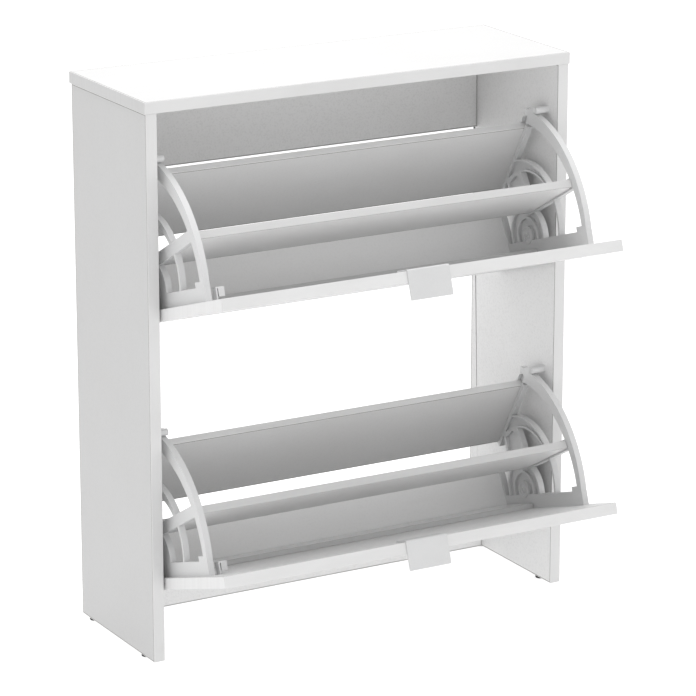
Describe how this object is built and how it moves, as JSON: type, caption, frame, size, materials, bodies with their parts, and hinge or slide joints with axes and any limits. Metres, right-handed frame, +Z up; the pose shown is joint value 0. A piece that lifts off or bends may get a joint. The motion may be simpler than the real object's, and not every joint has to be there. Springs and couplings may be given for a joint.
{
  "type": "shoe cabinet",
  "caption": "Slim white shoe cabinet with drop-down doors, each carrying a double-row shoe rack of sloping boards between plastic arc brackets, open on stop pegs.",
  "frame": {"origin": "floor level, under the middle of the side panels' depth and midway between them", "axes": "+Z up, -Y out of the front, towards the person who opens the flaps; +X to that person's right"},
  "size_m": [0.734, 0.4595, 0.873],
  "materials": {
    "white_board": "satin white melamine on chipboard",
    "white_plastic": "fine textured white moulding",
    "black_plastic": "satin black moulding",
    "zinc_steel": "bright zinc plate",
    "beech": "bare fluted beech"
  },
  "bodies": {
    "carcass": {"left_side_panel": "white_board", "right_side_panel": "white_board", "top_panel": "white_board", "upper_back_rail": "white_board", "lower_back_rail": "white_board", "front_left_glide": "black_plastic", "front_right_glide": "black_plastic", "rear_left_glide": "black_plastic", "rear_right_glide": "black_plastic", "cam_locks": "zinc_steel", "cam_bolts": "zinc_steel", "cam_covers": "white_plastic", "dowels": "beech", "lower_left_pivot_pin": "white_plastic", "lower_left_stop_peg": "white_plastic", "lower_right_pivot_pin": "white_plastic", "lower_right_stop_peg": "white_plastic", "upper_left_pivot_pin": "white_plastic", "upper_left_stop_peg": "white_plastic", "upper_right_pivot_pin": "white_plastic", "upper_right_stop_peg": "white_plastic"},
    "lower_flap": {"lower_door": "white_board", "lower_back_board": "white_board", "lower_shelf": "white_board", "lower_bottom_board": "white_board", "lower_door_strip": "white_board", "lower_left_bracket": "white_plastic", "lower_right_bracket": "white_plastic", "lower_bumper": "white_plastic", "lower_handle": "white_plastic", "lower_handle_screws": "zinc_steel", "lower_bracket_screws": "zinc_steel"},
    "upper_flap": {"upper_door": "white_board", "upper_back_board": "white_board", "upper_shelf": "white_board", "upper_bottom_board": "white_board", "upper_door_strip": "white_board", "upper_left_bracket": "white_plastic", "upper_right_bracket": "white_plastic", "upper_bumper": "white_plastic", "upper_handle": "white_plastic", "upper_handle_screws": "zinc_steel", "upper_bracket_screws": "zinc_steel"}
  },
  "joints": [
    {"name": "lower_flap_hinge", "type": "hinge", "parent": "carcass", "child": "lower_flap", "pos_m": [0, -0.077, 0.1534], "axis": [-1, 0, 0], "range_deg": [0, 72]},
    {"name": "upper_flap_hinge", "type": "hinge", "parent": "carcass", "child": "upper_flap", "pos_m": [0, -0.077, 0.5747], "axis": [-1, 0, 0], "range_deg": [0, 72]}
  ]
}
